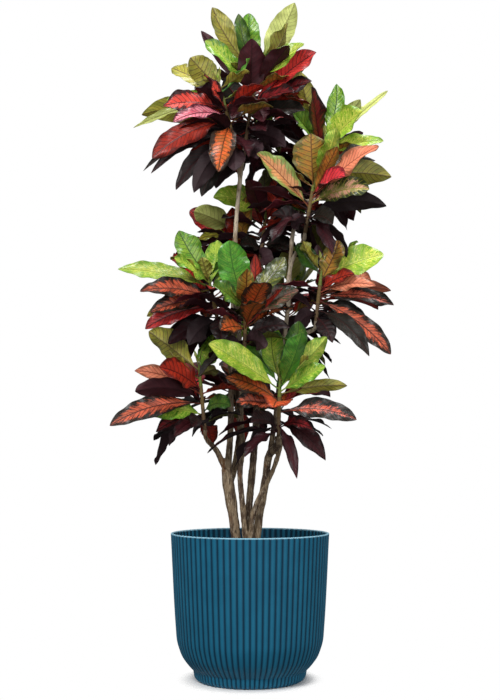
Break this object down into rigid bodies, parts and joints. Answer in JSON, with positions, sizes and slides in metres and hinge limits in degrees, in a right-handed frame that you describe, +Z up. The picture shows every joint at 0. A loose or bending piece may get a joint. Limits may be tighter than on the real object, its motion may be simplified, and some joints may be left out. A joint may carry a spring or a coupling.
{
  "type": "potted croton",
  "caption": "Tall branched croton with green, orange, red and dark purple leaves in heads on bare woody stems, standing in the soil of a round ribbed blue cover pot.",
  "frame": {"origin": "on the floor, at the centre of the pot's flat bottom", "axes": "+Z up along the pot's axis and the plant's height, -Y towards the plant's front, +X to the right seen from the front"},
  "size_m": [0.627, 0.5624, 1.534],
  "materials": {
    "pot": "matte",
    "soil": "matte",
    "bark": "matte",
    "leaf_young": "satin",
    "leaf_mature": "satin",
    "leaf_old": "satin"
  },
  "bodies": {
    "root": {"cover_pot": "pot", "soil": "soil", "trunk_left": "bark", "trunk_right": "bark", "crown_01_young": "leaf_young", "crown_01_mature": "leaf_mature", "crown_01_old": "leaf_old", "crown_02_young": "leaf_young", "crown_02_mature": "leaf_mature", "crown_02_old": "leaf_old", "crown_03_young": "leaf_young", "crown_03_mature": "leaf_mature", "crown_03_old": "leaf_old", "crown_04_young": "leaf_young", "crown_04_mature": "leaf_mature", "crown_04_old": "leaf_old", "crown_05_young": "leaf_young", "crown_05_mature": "leaf_mature", "crown_05_old": "leaf_old", "crown_06_young": "leaf_young", "crown_06_mature": "leaf_mature", "crown_06_old": "leaf_old", "crown_07_young": "leaf_young", "crown_07_mature": "leaf_mature", "crown_07_old": "leaf_old", "crown_08_young": "leaf_young", "crown_08_mature": "leaf_mature", "crown_08_old": "leaf_old", "crown_09_young": "leaf_young", "crown_09_mature": "leaf_mature", "crown_09_old": "leaf_old", "crown_10_young": "leaf_young", "crown_10_mature": "leaf_mature", "crown_10_old": "leaf_old", "crown_11_young": "leaf_young", "crown_11_mature": "leaf_mature", "crown_11_old": "leaf_old", "crown_12_young": "leaf_young", "crown_12_mature": "leaf_mature", "crown_12_old": "leaf_old", "crown_13_young": "leaf_young", "crown_13_mature": "leaf_mature", "crown_13_old": "leaf_old", "crown_14_young": "leaf_young", "crown_14_mature": "leaf_mature", "crown_14_old": "leaf_old"}
  },
  "joints": []
}
